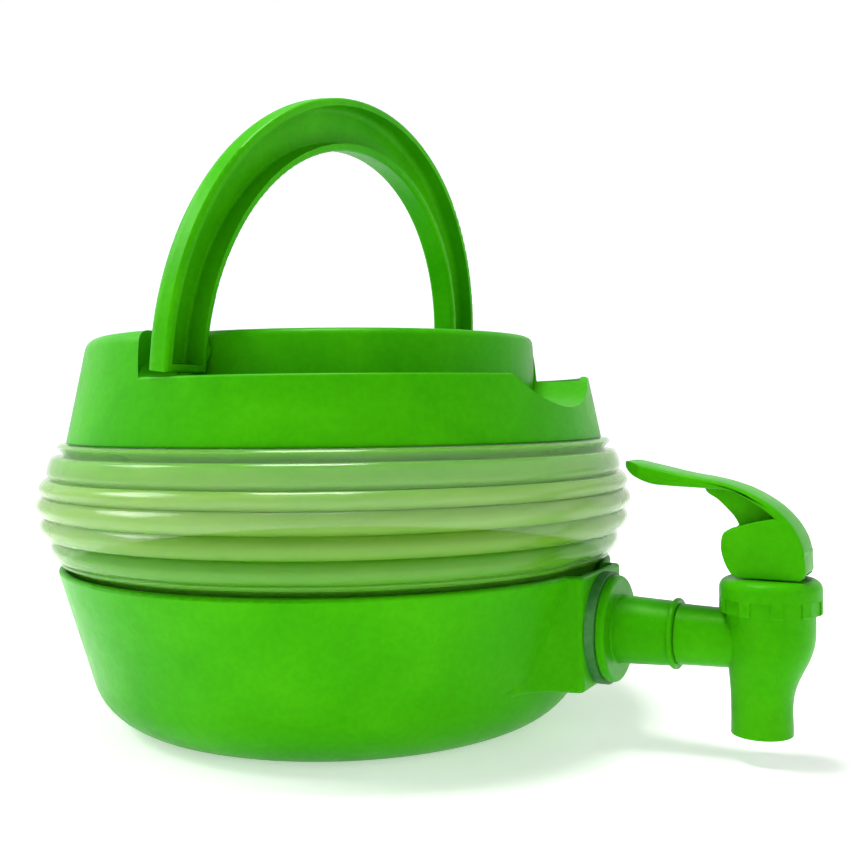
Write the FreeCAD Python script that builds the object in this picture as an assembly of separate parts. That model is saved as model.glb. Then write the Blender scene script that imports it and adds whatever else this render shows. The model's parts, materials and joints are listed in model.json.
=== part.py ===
import FreeCAD, Part
import math
import os

# Collapsible drink dispenser with a folding bellows bottle, a screw lid with a bail handle, and a push-lever tap.
# Millimetres. +Z is up, the floor is z = 0, the bottle's axis is the Z axis and the tap points along +X.

Vector = FreeCAD.Vector
ORIGIN = Vector(0, 0, 0)
X_AXIS = Vector(1, 0, 0)
Y_AXIS = Vector(0, 1, 0)
Z_AXIS = Vector(0, 0, 1)
LOOSE = 0.1             # radial clearance of a running fit

# Base tub
TUB_RIM_R = 98.0
TUB_HEIGHT = 54.8
TUB_TAPER = math.radians(16.2)
TUB_WALL = 2.5
TUB_HEEL_R = 22.5       # rounding between floor and wall
BOSS_FACE_X = 100.5     # flat face that the tap is clamped to
BOSS_HALF = 18.5
BOSS_BOTTOM = 18.5
RIM_ROUND = 1.0
BOSS_ROUND = 1.5

# Bellows bottle
BOTTLE_WALL = 1.5
BELLOWS_WALL = 0.9
FOLDS_BOTTOM = 59.4
FOLDS_TOP = 92.3
FOLD_TIPS = [(101.6, 62.3), (105.0, 69.6), (106.0, 76.3), (105.0, 82.4), (102.2, 87.4)]     # before rounding
FOLD_DEPTH = 11.0
FLANGE_R = 98.4         # before rounding
SHOULDER_Z = 95.6
NECK_R = 66.0           # outer radius
NECK_TOP = 118.2

# Screw lugs shared by neck and lid
LUG_COUNT = 6
LUG_ANGLE = 22.0
LUG_THICK = 1.6
LUG_GAP = 0.3
LUG_Z = 110.5           # middle of the neck's lugs
LUG_REACH = 2.0
SCREW_LEAD = 27.0       # rise per turn

# Lid
LID_BOTTOM = 96.8
LID_BOTTOM_R = 94.7
LID_TOP = 132.6
LID_TOP_R = 87.2
LID_EDGE_R = 5.0
LID_WALL = 2.2
LIP_Z = 118.1           # rim of the recess
LIP_ROUND = 1.0
RECESS_FLOOR = 116.6
DRUM_FOOT_R = 72.1
DRUM_TOP_R = 70.4
DRUM_EDGE_R = 2.5
RECESS_END_X = -11.5
RECESS_END_R = 6.0      # rounding between the recess's floor and its end walls
SKIRT_R = 68.4          # inner radius of the screw skirt
SKIRT_BOTTOM = 103.0
SCOOP_R = 42.5
SCOOP_DEPTH = 10.5
LID_TURN = -3.5         # where the screwed-on lid stops, seen from above

# Bail handle
PIVOT_Z = 126.2
BAIL_OUTER_R = 91.0
BAIL_INNER_R = 73.3
BAIL_HALF = 4.9         # half of its width along the fold direction
BAIL_WALL = 2.5
BAIL_DROP = 6.6         # how far its feet reach below the pivots
BAIL_LEAN = 7.0         # degrees towards +X when it is let go upright
PEG_R = 3.6

# Tap
STEM_Z = 36.3
TAP_X = 153.5
THREAD_R = 7.9
BORE_R = 5.5
UNION_X = 125.0         # bead where the tap body plugs into the shank
BEAD_HALF = 0.85
SPIGOT_R = 7.6
CHAMBER_R = 9.2
CHAMBER_FLOOR = 30.8
BODY_TOP = 52.0
BONNET_R = 15.2
BONNET_BOTTOM = 45.4
BONNET_TOP = 55.6
SPOUT_X = TAP_X - 2.6
SPOUT_R = 9.2
SPOUT_BORE_R = 6.4
SPOUT_Z = 8.2
SPOUT_BORE_TOP = 27.0
ROD_R = 2.5
PIN_Z = 63.0
PIN_R = 2.0
CHEEK_GAP = 5.5         # half the distance between the lever's cheeks
CHEEK_OUT = 7.9


def lay(u, v, plane):
    """Puts in-plane distances u and v into one of the main planes."""
    if plane == "XY":
        return Vector(u, v, 0)
    if plane == "YZ":
        return Vector(0, u, v)
    return Vector(u, 0, v)


def rounded_corner(before, here, after, radius):
    """Start, middle and end of the arc that rounds one corner."""
    if radius == 0:
        return here, here, here
    back = (before - here).normalize()
    ahead = (after - here).normalize()
    half = back.getAngle(ahead) / 2
    along = radius / math.tan(half)
    bisector = (back + ahead).normalize()
    middle = here + bisector * (radius / math.sin(half) - radius)
    return here + back * along, middle, here + ahead * along


def outline(corners, plane="XZ", closed=True):
    """A wire through corners (u, v, rounding radius)."""
    points = [lay(u, v, plane) for u, v, _ in corners]
    arcs = []
    for i, (_, _, radius) in enumerate(corners):
        arcs.append(rounded_corner(points[i - 1], points[i], points[(i + 1) % len(points)], radius))
    edges = []
    for i, (start, middle, end) in enumerate(arcs):
        if (end - start).Length > 1e-6:
            edges.append(Part.Arc(start, middle, end).toShape())
        following = arcs[(i + 1) % len(arcs)][0]
        last = i == len(arcs) - 1
        if (following - end).Length > 1e-6 and not (last and not closed):
            edges.append(Part.LineSegment(end, following).toShape())
    return Part.Wire(edges)


def turned(corners):
    """A solid of revolution about the Z axis."""
    return Part.Face(outline(corners)).revolve(ORIGIN, Z_AXIS, 360)


def thick_line(corners, thickness):
    """Corners of the closed outline of a thin wall that follows an open centre line."""
    half = thickness / 2
    points = [Vector(u, v, 0) for u, v, _ in corners]
    sides = ([], [])
    for i, (_, _, radius) in enumerate(corners):
        here = points[i]
        before = (here - points[i - 1]).normalize() if i > 0 else None
        after = (points[i + 1] - here).normalize() if i < len(points) - 1 else None
        before = before or after
        after = after or before
        bisector = Vector(-before.y - after.y, before.x + after.x, 0).normalize()
        mitre = half / bisector.dot(Vector(-before.y, before.x, 0))
        turn = math.copysign(half, before.cross(after).z) if radius else 0
        for side, points_out in zip((1, -1), sides):
            spot = here + bisector * (mitre * side)
            points_out.append((spot.x, spot.y, max(radius - turn * side, 0)))
    return sides[0] + sides[1][::-1]


def turned_wall(corners, thickness):
    """A thin wall of revolution that follows a centre line."""
    return turned(thick_line(corners, thickness))


def prism(corners, low, high, plane="XY"):
    """Extrudes a closed outline from low to high along its plane's normal."""
    normal = {"XY": Z_AXIS, "XZ": Y_AXIS, "YZ": X_AXIS}[plane]
    face = Part.Face(outline(corners, plane))
    face.translate(normal * low)
    return face.extrude(normal * (high - low))


def rod(radius, start, end):
    """A cylinder from one point to another."""
    axis = end - start
    return Part.makeCylinder(radius, axis.Length, start, axis)


def ring(outer, inner, start, end):
    """A tube from one point to another."""
    overrun = (end - start).normalize()
    return rod(outer, start, end).cut(rod(inner, start - overrun, end + overrun))


def on_stem(x):
    """A point on the tap's horizontal axis."""
    return Vector(x, 0, STEM_Z)


def on_tap(z):
    """A point on the tap's vertical axis."""
    return Vector(TAP_X, 0, z)


def mirrored_pair(shape):
    """A shape together with its mirror image across the XZ plane."""
    return [shape, shape.mirror(ORIGIN, Y_AXIS)]


def flat_edges(shape, height, least_x):
    """The edges that lie flat at a height and reach at least as far along +X as least_x."""
    return [edge for edge in shape.Edges
            if abs(edge.BoundBox.ZMin - height) < 1e-3 and abs(edge.BoundBox.ZMax - height) < 1e-3
            and edge.BoundBox.XMax > least_x]


def soften(shape, edges, radius):
    """Rounds the given edges."""
    return shape.makeFillet(radius, edges)


def tub_radius(z, inset=0.0):
    """Radius of the tub's tapered side at a height, less an inset."""
    return TUB_RIM_R - (TUB_HEIGHT - z) * math.tan(TUB_TAPER) - inset / math.cos(TUB_TAPER)


def cup_solid(inset, floor, top):
    """The tub's shape shrunk by an inset, as a solid."""
    return turned([(0, floor, 0), (tub_radius(floor, inset), floor, TUB_HEEL_R - inset),
                   (tub_radius(top, inset), top, 0), (0, top, 0)])


def boss_solid(inset, top):
    """The flat-faced swelling that carries the tap, shrunk by an inset."""
    half = BOSS_HALF - inset
    face = BOSS_FACE_X - inset
    flare = [(60, -40 + inset, 0), (78 - inset, -40 + inset, 0), (88, -half - 2.5, 12), (face, -half, 2.5)]
    return prism(flare + [(x, -y, r) for x, y, r in reversed(flare)], BOSS_BOTTOM + inset, top)


def base_tub():
    """Open tub with a heel rounding, a boss for the tap and a hole through the boss."""
    shell = cup_solid(0, 0, TUB_HEIGHT).fuse(boss_solid(0, TUB_HEIGHT))
    above = TUB_HEIGHT + 5
    hollow = cup_solid(TUB_WALL, TUB_WALL, above).fuse(boss_solid(TUB_WALL, above))
    hole = rod(THREAD_R + LOOSE, on_stem(80), on_stem(110))
    tub = shell.cut(hollow).cut(hole).removeSplitter()
    tub = soften(tub, flat_edges(tub, TUB_HEIGHT, 0), RIM_ROUND)
    return soften(tub, flat_edges(tub, BOSS_BOTTOM, 94), BOSS_ROUND)


def bottle_base():
    """Lower cup of the bottle, which sits in the tub and has its own boss wall behind the tub's."""
    gap = TUB_WALL + 0.4
    top = FOLDS_BOTTOM - 3
    boss_top = top - 5
    outer = cup_solid(gap, TUB_WALL, top).fuse(boss_solid(gap, boss_top))
    pad = rod(12.8, on_stem(BOSS_FACE_X - gap - 1), on_stem(BOSS_FACE_X - TUB_WALL))
    inner = cup_solid(gap + BOTTLE_WALL, TUB_WALL + BOTTLE_WALL, top + 1)
    inner = inner.fuse(boss_solid(gap + BOTTLE_WALL, boss_top - BOTTLE_WALL))
    shoulder_r = tub_radius(top, gap + BOTTLE_WALL / 2)
    shoulder = turned_wall([(shoulder_r - 0.2, top - 1, 0), (shoulder_r, top + 1.6, 0.8), (93.0, FOLDS_BOTTOM - 0.8, 0)],
                           BOTTLE_WALL)
    hole = rod(THREAD_R + LOOSE, on_stem(80), on_stem(110))
    return outer.fuse(pad).cut(inner).fuse(shoulder).cut(hole).removeSplitter()


def bellows():
    """The folded part of the bottle, a thin wall that zigzags between tips and grooves."""
    line = [(93.2, FOLDS_BOTTOM + 0.6, 0)]
    for i, (radius, z) in enumerate(FOLD_TIPS):
        line.append((radius, z, 1.2))
        if i < len(FOLD_TIPS) - 1:
            next_radius, next_z = FOLD_TIPS[i + 1]
            line.append(((radius + next_radius) / 2 - FOLD_DEPTH, (z + next_z) / 2, 0.8))
    line.append((94.0, FOLDS_TOP - 0.5, 0))
    return turned_wall(line, BELLOWS_WALL)


def screw_lugs(inner_r, outer_r, middle_z):
    """Lugs spread round the axis, each tilted to the pitch of the screw."""
    pitch_angle = math.degrees(math.atan(SCREW_LEAD / (2 * math.pi * (inner_r + outer_r) / 2)))
    section = Part.Face(outline([(inner_r, -LUG_THICK / 2, 0), (outer_r, -LUG_THICK / 2, 0),
                                 (outer_r, LUG_THICK / 2, 0), (inner_r, LUG_THICK / 2, 0)]))
    lugs = []
    for i in range(LUG_COUNT):
        lug = section.revolve(ORIGIN, Z_AXIS, LUG_ANGLE)
        lug.rotate(ORIGIN, Z_AXIS, -LUG_ANGLE / 2)
        lug.rotate(ORIGIN, X_AXIS, pitch_angle)
        lug.rotate(ORIGIN, Z_AXIS, i * 360 / LUG_COUNT)
        lug.translate(Z_AXIS * middle_z)
        lugs.append(lug)
    return lugs


def bottle_neck():
    """Top of the bottle: thin flange, flat shoulder and a neck with screw lugs."""
    middle_r = NECK_R - BOTTLE_WALL / 2
    wall = turned_wall([(94.0, FOLDS_TOP + 1.0, 0), (94.6, FOLDS_TOP + 1.6, 0.5), (FLANGE_R, SHOULDER_Z, 0.8),
                        (middle_r, SHOULDER_Z, 1.5), (middle_r, NECK_TOP - BOTTLE_WALL / 2, 0)], BOTTLE_WALL)
    return wall.fuse(screw_lugs(NECK_R - 0.6, NECK_R + LUG_REACH, LUG_Z))


def lid_radius(z):
    """Radius of the lid's tapered side at a height."""
    return LID_BOTTOM_R + (LID_TOP_R - LID_BOTTOM_R) * (z - LID_BOTTOM) / (LID_TOP - LID_BOTTOM)


def recess_space(grow):
    """The crescent that the folded handle lies in, grown by a wall thickness."""
    floor = RECESS_FLOOR - grow
    lip_r = lid_radius(LIP_Z) - LID_WALL
    foot_r = DRUM_FOOT_R - grow
    top_r = DRUM_TOP_R - grow
    if grow == 0:
        section = [(foot_r, floor, 0.8), (lip_r, floor, 0), (lip_r, LIP_Z, 0), (110, LIP_Z, 0),
                   (110, LID_TOP + 8, 0), (top_r - 6, LID_TOP + 8, 0), (top_r - 6, LID_TOP, 0),
                   (top_r, LID_TOP, DRUM_EDGE_R)]
    else:
        section = [(foot_r, floor, 0), (110, floor, 0), (110, LID_TOP + 8, 0), (top_r, LID_TOP + 8, 0)]
    end_x = RECESS_END_X - grow
    side = 91.5 + grow
    reach = prism([(end_x, -side, 8 + grow), (110, -side, 0), (110, side, 0), (end_x, side, 8 + grow)],
                  floor - 1, LID_TOP + 9)
    rise = prism([(end_x, floor, RECESS_END_R + grow), (110, floor, 0), (110, LID_TOP + 9, 0),
                  (end_x, LID_TOP + 9, 0)], -110, 110, "XZ")
    return turned(section).common(reach).common(rise)


def scoop_space(grow):
    """The finger scoop in the middle of the recess, grown by a wall thickness."""
    middle_z = LIP_Z - SCOOP_DEPTH + SCOOP_R
    scoop = rod(SCOOP_R + grow, Vector(60, 0, middle_z), Vector(110, 0, middle_z))
    around_drum = turned([(DRUM_FOOT_R - grow, 90, 0), (110, 90, 0), (110, LID_TOP + 8, 0),
                          (DRUM_TOP_R - grow, LID_TOP + 8, 0)])
    return scoop.common(around_drum)


def lip_edges(cover):
    """The outer edges of the recess's rim and of the scoop's cut through it."""
    found = []
    for edge in cover.Edges:
        box = edge.BoundBox
        reach = math.hypot(edge.valueAt(edge.FirstParameter).x, edge.valueAt(edge.FirstParameter).y)
        on_rim = abs(box.ZMin - LIP_Z) < 1e-3 and abs(box.ZMax - LIP_Z) < 1e-3 and edge.Length > 20
        in_scoop = abs(box.ZMin - LIP_Z + SCOOP_DEPTH) < 1e-2 and abs(box.ZMax - LIP_Z) < 1e-2 and edge.Length > 20
        if (on_rim or in_scoop) and reach > lid_radius(LIP_Z) - 0.5:
            found.append(edge)
    return found


def lid_cover():
    """Lid with the handle recess, the drum in its middle, a screw skirt and a sealing rib."""
    body = turned([(0, LID_BOTTOM, 0), (LID_BOTTOM_R, LID_BOTTOM, 0.6), (LID_TOP_R, LID_TOP, LID_EDGE_R),
                   (0, LID_TOP, 0)])
    cuts = recess_space(0).fuse(scoop_space(0))
    shell = body.cut(cuts)
    under_top = LID_TOP - LID_WALL
    wall_inner = LID_BOTTOM_R - LID_WALL
    hollow = turned([(SKIRT_R + 2.4, LID_BOTTOM - 1, 0), (wall_inner + 0.2, LID_BOTTOM - 1, 0),
                     (LID_TOP_R - LID_WALL, under_top, LID_EDGE_R - LID_WALL), (SKIRT_R + 2.4, under_top, 0)])
    hollow = hollow.cut(recess_space(LID_WALL).fuse(scoop_space(LID_WALL)))
    mouth = rod(SKIRT_R, Vector(0, 0, LID_BOTTOM - 1), Vector(0, 0, under_top))
    skirt_end = ring(SKIRT_R + 3, SKIRT_R - 1, Vector(0, 0, LID_BOTTOM - 1), Vector(0, 0, SKIRT_BOTTOM))
    rib = ring(67.2, 64.0, Vector(0, 0, NECK_TOP + 2.8), Vector(0, 0, under_top + 0.5))
    lugs = screw_lugs(NECK_R + 0.4, SKIRT_R + 0.6, LUG_Z - LUG_THICK - LUG_GAP)
    holes = rod(PEG_R + LOOSE, Vector(0, -80, PIVOT_Z), Vector(0, 80, PIVOT_Z))
    holes = holes.cut(rod(PEG_R + 1, Vector(0, -67.4, PIVOT_Z), Vector(0, 67.4, PIVOT_Z)))
    cover = shell.cut([hollow, mouth, skirt_end]).fuse(rib).cut(holes).removeSplitter()
    cover = soften(cover, lip_edges(cover), LIP_ROUND)
    cover.rotate(ORIGIN, Z_AXIS, LID_TURN)
    return cover.fuse(lugs)


def lid_gasket():
    """Flat rubber ring between the neck's top and the lid's rib."""
    return ring(67.8, 62.6, Vector(0, 0, NECK_TOP + 0.3), Vector(0, 0, NECK_TOP + 2.5))


def half_ring(corners, drop):
    """A half ring about the X axis, with legs that go on below it; corners are (radius, x, rounding radius)."""
    face = Part.Face(outline([(x, radius, rounding) for radius, x, rounding in corners], "XY"))
    arch = face.revolve(ORIGIN, X_AXIS, 180)
    return arch.fuse(mirrored_pair(face.extrude(Z_AXIS * -drop)))


def handle():
    """Half-round channel bail, open towards +X, with a closed square foot and a peg at each end."""
    front = BAIL_WALL / 2 - 0.1
    solid = half_ring([(BAIL_INNER_R, -BAIL_HALF, 1.5), (BAIL_OUTER_R, -BAIL_HALF, 5.0),
                       (BAIL_OUTER_R, BAIL_HALF, front), (BAIL_INNER_R, BAIL_HALF, front)], BAIL_DROP)
    channel = half_ring([(BAIL_INNER_R + BAIL_WALL, -BAIL_HALF + BAIL_WALL, 1.0),
                         (BAIL_OUTER_R - BAIL_WALL, -BAIL_HALF + BAIL_WALL, 2.5),
                         (BAIL_OUTER_R - BAIL_WALL, BAIL_HALF + 1, 0),
                         (BAIL_INNER_R + BAIL_WALL, BAIL_HALF + 1, 0)], BAIL_DROP - BAIL_WALL)
    foot = prism([(-BAIL_HALF, -BAIL_DROP, 1.6), (BAIL_HALF, -BAIL_DROP, 1.0), (BAIL_HALF, 100, 0),
                  (-BAIL_HALF, 100, 0)], -100, 100, "XZ")
    bail = solid.common(foot).cut(channel)
    for side in (-1, 1):
        root = Vector(0, side * (BAIL_INNER_R + 1), 0)
        bail = bail.fuse(rod(PEG_R + 0.9, root, Vector(0, side * (DRUM_FOOT_R + 0.1), 0)))
        bail = bail.fuse(rod(PEG_R, root, Vector(0, side * (SKIRT_R + 0.4), 0)))
    bail = bail.removeSplitter()
    bail.rotate(ORIGIN, Y_AXIS, BAIL_LEAN)
    bail.rotate(ORIGIN, Z_AXIS, LID_TURN)
    bail.translate(Z_AXIS * PIVOT_Z)
    return bail


def tap_shank():
    """Threaded inlet with a flange, and a socket ending in a bead that takes the tap body."""
    inner_end = BOSS_FACE_X - 17
    flange_x = BOSS_FACE_X + 3
    profile = [(inner_end, THREAD_R, 0.6), (flange_x, THREAD_R, 0), (flange_x, 17.0, 0.6), (flange_x + 3, 17.0, 1.2),
               (flange_x + 3, 10.9, 0.8), (UNION_X - BEAD_HALF, 10.1, 0), (UNION_X - BEAD_HALF, 11.1, 0.6),
               (UNION_X + BEAD_HALF, 11.1, 0.6), (UNION_X + BEAD_HALF, SPIGOT_R + LOOSE, 0),
               (111, SPIGOT_R + LOOSE, 0),
               (111, BORE_R, 0), (inner_end, BORE_R, 0)]
    solid = Part.Face(outline(profile)).revolve(ORIGIN, X_AXIS, 360)
    solid.translate(Z_AXIS * STEM_Z)
    crests = []
    for i in range(8):
        crest_x = inner_end + 1.2 + i * 1.5
        crest = [(crest_x - 0.6, THREAD_R - 0.1, 0), (crest_x + 0.6, THREAD_R - 0.1, 0), (crest_x, THREAD_R + 0.4, 0)]
        crest = Part.Face(outline(crest)).revolve(ORIGIN, X_AXIS, 360)
        crest.translate(Z_AXIS * STEM_Z)
        crests.append(crest)
    return solid.fuse(crests)


def shank_o_ring():
    """O-ring in the groove of the tap body's spigot."""
    return Part.makeTorus(SPIGOT_R - 0.75, 0.8, on_stem(115.5), X_AXIS)


def tap_body():
    """Tap body: spigot and inlet tube, valve chamber with a seat, neck for the bonnet, and the spout."""
    sections = [(BONNET_BOTTOM, 0, 13.2), (38.4, 0, 13.1), (33.6, -0.4, 12.6), (28.5, -1.25, 11.25), (23.5, -2.15, 9.9),
                (18.5, -2.6, SPOUT_R), (SPOUT_Z, -2.6, SPOUT_R)]
    hoops = [Part.Wire(Part.makeCircle(r, Vector(TAP_X + shift, 0, z))) for z, shift, r in sections]
    cone = Part.makeLoft(hoops, True, False)
    neck = rod(12.4, on_tap(BONNET_BOTTOM - 1), on_tap(BODY_TOP))
    inlet_x = UNION_X + BEAD_HALF + 0.1
    inlet = [(inlet_x, 0, 0), (inlet_x, 9.5, 0.3), (TAP_X - 9, 8.9, 0), (TAP_X - 9, 0, 0)]
    inlet = Part.Face(outline(inlet)).revolve(ORIGIN, X_AXIS, 360)
    inlet.translate(Z_AXIS * STEM_Z)
    spigot = rod(SPIGOT_R, on_stem(111.3), on_stem(UNION_X + 2))
    groove = ring(SPIGOT_R + 1, SPIGOT_R - 1.6, on_stem(114.4), on_stem(116.6))
    chamber = rod(CHAMBER_R, on_tap(CHAMBER_FLOOR), on_tap(BODY_TOP + 1))
    bore = rod(BORE_R - 0.2, on_stem(100), on_stem(TAP_X))
    seat_hole = rod(4.8, on_tap(25.5), on_tap(CHAMBER_FLOOR + 1))
    outlet = rod(SPOUT_BORE_R, Vector(SPOUT_X, 0, SPOUT_Z - 1), Vector(SPOUT_X, 0, SPOUT_BORE_TOP))
    solid = cone.fuse([neck, inlet, spigot])
    return solid.cut([groove, chamber, bore, seat_hole, outlet]).removeSplitter()


def tap_outer_washer():
    """Soft washer between the boss and the shank's flange."""
    return ring(18.0, THREAD_R + LOOSE, on_stem(BOSS_FACE_X), on_stem(BOSS_FACE_X + 3))


def tap_inner_washer():
    """Soft washer inside the bottle, behind the boss wall."""
    face = BOSS_FACE_X - TUB_WALL - 0.4 - BOTTLE_WALL
    return ring(12.2, THREAD_R + 0.5, on_stem(face - 1.8), on_stem(face))


def tap_nut():
    """Hexagonal nut inside the bottle that clamps tub, bottle and washers."""
    face = BOSS_FACE_X - TUB_WALL - 0.4 - BOTTLE_WALL - 1.8
    reach = 12.4
    hexagon = [(reach * math.cos(math.radians(a)), reach * math.sin(math.radians(a)) + STEM_Z, 0.8)
               for a in range(30, 390, 60)]
    blank = prism(hexagon, face - 6.5, face, "YZ")
    return blank.cut(rod(THREAD_R + 0.45, on_stem(face - 8), on_stem(face + 1)))


def tap_bonnet():
    """Screw cap of the tap with a round shoulder, grip flats round its skirt and a hole for the plunger."""
    blank = turned([(0, BONNET_BOTTOM, 0), (BONNET_R, BONNET_BOTTOM, 0.5), (BONNET_R - 0.2, BONNET_TOP, 3.0),
                    (0, BONNET_TOP, 0)])
    flats = []
    for i in range(10):
        flat = Part.makeBox(4, 6.0, 5.4, Vector(BONNET_R - 0.75, -3.0, BONNET_BOTTOM - 1))
        flat.rotate(ORIGIN, Z_AXIS, 18 + i * 36)
        flats.append(flat)
    space = rod(12.4 + LOOSE, Vector(0, 0, BONNET_BOTTOM - 1), Vector(0, 0, BODY_TOP))
    ceiling = rod(CHAMBER_R, Vector(0, 0, BODY_TOP - 1), Vector(0, 0, BONNET_TOP - 2.4))
    hole = rod(ROD_R + LOOSE, Vector(0, 0, BODY_TOP), Vector(0, 0, BONNET_TOP + 1))
    cap = blank.cut(flats).cut([space, ceiling, hole])
    cap.translate(X_AXIS * TAP_X)
    return cap.removeSplitter()


def tap_plunger():
    """Plunger rod whose head sits between the lever's cheeks, with a socket each side for the lever's pegs."""
    shaft = rod(ROD_R, on_tap(34), on_tap(PIN_Z - 2))
    half = CHEEK_GAP - 0.3
    head = prism([(TAP_X - 4.6, BONNET_TOP + 0.5, 0.8), (TAP_X + 4.6, BONNET_TOP + 0.5, 0.8),
                  (TAP_X + 4.6, PIN_Z + 4.6, 4.4), (TAP_X - 4.6, PIN_Z + 4.6, 4.4)], -half, half, "XZ")
    sockets = mirrored_pair(rod(PIN_R + LOOSE, Vector(TAP_X, 2.4, PIN_Z), Vector(TAP_X, CHEEK_GAP + 1, PIN_Z)))
    return head.fuse(shaft).cut(sockets).removeSplitter()


def valve_seal():
    """Silicone plug on the plunger's foot: a disc that closes the seat and a cup that seals the chamber."""
    profile = [(0, CHAMBER_FLOOR + 0.1, 0), (6.6, CHAMBER_FLOOR + 0.1, 0.5), (6.6, CHAMBER_FLOOR + 2.4, 0.5),
               (4.0, CHAMBER_FLOOR + 3.0, 0.4), (4.0, 42.0, 0.6), (CHAMBER_R - 0.8, 43.0, 0.5),
               (CHAMBER_R - LOOSE, 47.0, 0.3), (CHAMBER_R - 1.4, 47.0, 0.2), (CHAMBER_R - 1.9, 44.6, 0.5),
               (0, 44.6, 0)]
    plug = turned(profile).cut(rod(ROD_R + LOOSE, Vector(0, 0, 33.9), Vector(0, 0, 50)))
    plug.translate(X_AXIS * TAP_X)
    return plug


def valve_spring():
    """Compression spring between the seal and the bonnet's ceiling, its wire drawn with eight flats."""
    low = 45.3
    high = BONNET_TOP - 2.4 - 0.6
    coil_r = 4.8
    wire_r = 0.45
    helix = Part.makeHelix((high - low) / 4, high - low, coil_r)
    flats = [Vector(coil_r + wire_r * math.cos(math.radians(a)), 0, wire_r * math.sin(math.radians(a)))
             for a in range(0, 361, 45)]
    spring = Part.Wire(helix.Edges).makePipeShell([Part.makePolygon(flats)], True, True)
    spring.translate(on_tap(low))
    return spring


def tap_lever():
    """Lever: spoon-ended blade over two cheeks, with a rib underneath and a blind peg on each cheek."""
    def side(points, half):
        """A slab across the lever with an outline measured from the tap's axis."""
        return prism([(TAP_X + x, z, r) for x, z, r in points], -half, half, "XZ")

    blade = side([(-44.6, 90.2, 0.8), (-37.0, 88.9, 30), (-12.0, 84.6, 40), (2.0, 79.5, 20), (10.2, 70.0, 12),
                  (11.4, 64.0, 0), (11.4, 57.6, 0), (9.2, 57.6, 0), (9.2, 64.0, 10), (4.4, 72.6, 16),
                  (-4.0, 79.6, 20), (-14.0, 82.6, 30), (-34.0, 83.8, 20), (-41.5, 86.4, 6)], CHEEK_OUT)
    hollow = side([(-40, 80, 0), (-36.5, 86.4, 5), (-12.5, 82.6, 40), (1.0, 77.2, 20), (8.0, 68.6, 10), (8.8, 50, 0),
                   (-40, 50, 0)], CHEEK_OUT - 2.2)
    rib = side([(-20.0, 84.5, 0), (-20.0, 81.6, 0.5), (-12.2, 76.8, 14), (-8.0, 69.0, 0), (-2, 69.0, 0),
                (4, 75.0, 0), (-4, 80.6, 0)], 1.2)
    cheek_shape = [(-12.9, 69.8, 2.5), (-13.0, 63.5, 4), (-9.8, 56.0, 4.5), (10.6, 56.0, 1.0), (11.4, 66.0, 4),
                   (4.4, 73.6, 2), (-2.0, 72.6, 0)]
    cheeks = mirrored_pair(prism([(TAP_X + x, z, r) for x, z, r in cheek_shape], CHEEK_GAP, CHEEK_OUT, "XZ"))
    pegs = mirrored_pair(rod(PIN_R, Vector(TAP_X, 2.8, PIN_Z), Vector(TAP_X, CHEEK_GAP + 1, PIN_Z)))
    head_room = rod(6.4, Vector(TAP_X, -CHEEK_GAP, PIN_Z), Vector(TAP_X, CHEEK_GAP, PIN_Z))
    lever = blade.cut(hollow).fuse(rib.cut(head_room)).fuse(cheeks).fuse(pegs)
    return lever.removeSplitter()


NODES = {
    "base_tub": base_tub,
    "bottle_base": bottle_base,
    "bellows": bellows,
    "bottle_neck": bottle_neck,
    "lid_cover": lid_cover,
    "lid_gasket": lid_gasket,
    "handle": handle,
    "tap_shank": tap_shank,
    "shank_o_ring": shank_o_ring,
    "tap_body": tap_body,
    "tap_outer_washer": tap_outer_washer,
    "tap_inner_washer": tap_inner_washer,
    "tap_nut": tap_nut,
    "tap_bonnet": tap_bonnet,
    "tap_plunger": tap_plunger,
    "valve_seal": valve_seal,
    "valve_spring": valve_spring,
    "tap_lever": tap_lever,
}

os.makedirs("parts", exist_ok=True)
for name, build in NODES.items():
    shape = build()
    shape.exportStep(f"parts/{name}.step")
    print(name, "solids", len(shape.Solids), "valid", shape.isValid(), "volume cm3", round(shape.Volume / 1000, 2))
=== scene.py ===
"""Collapsible drink dispenser: moulded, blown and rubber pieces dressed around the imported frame.

Lengths in the classes are in millimetres from the bottle's axis and the table; meshes are in metres.
"""
import json
import logging
import math
from dataclasses import dataclass, field
from enum import Enum
from typing import Iterable, Sequence

import bpy
from mathutils import Matrix, Vector

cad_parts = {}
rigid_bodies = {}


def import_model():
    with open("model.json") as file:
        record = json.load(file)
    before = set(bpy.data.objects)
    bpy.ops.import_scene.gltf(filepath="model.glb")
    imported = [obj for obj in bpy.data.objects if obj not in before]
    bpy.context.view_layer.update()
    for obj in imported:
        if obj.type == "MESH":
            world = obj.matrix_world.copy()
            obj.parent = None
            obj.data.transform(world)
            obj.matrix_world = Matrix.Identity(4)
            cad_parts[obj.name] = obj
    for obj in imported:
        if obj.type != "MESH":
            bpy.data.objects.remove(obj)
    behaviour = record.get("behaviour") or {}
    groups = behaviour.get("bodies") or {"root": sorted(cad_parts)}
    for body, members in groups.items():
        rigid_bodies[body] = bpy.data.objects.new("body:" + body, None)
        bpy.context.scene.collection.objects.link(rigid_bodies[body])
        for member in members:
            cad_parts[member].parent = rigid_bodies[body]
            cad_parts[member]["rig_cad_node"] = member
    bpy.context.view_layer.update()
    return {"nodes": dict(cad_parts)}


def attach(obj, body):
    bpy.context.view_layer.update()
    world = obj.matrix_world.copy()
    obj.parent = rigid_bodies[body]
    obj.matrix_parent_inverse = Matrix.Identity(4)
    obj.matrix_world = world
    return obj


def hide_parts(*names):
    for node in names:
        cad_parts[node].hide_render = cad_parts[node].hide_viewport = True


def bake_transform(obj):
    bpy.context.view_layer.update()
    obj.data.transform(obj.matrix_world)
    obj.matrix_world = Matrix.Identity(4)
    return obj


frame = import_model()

MM = 0.001
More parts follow.
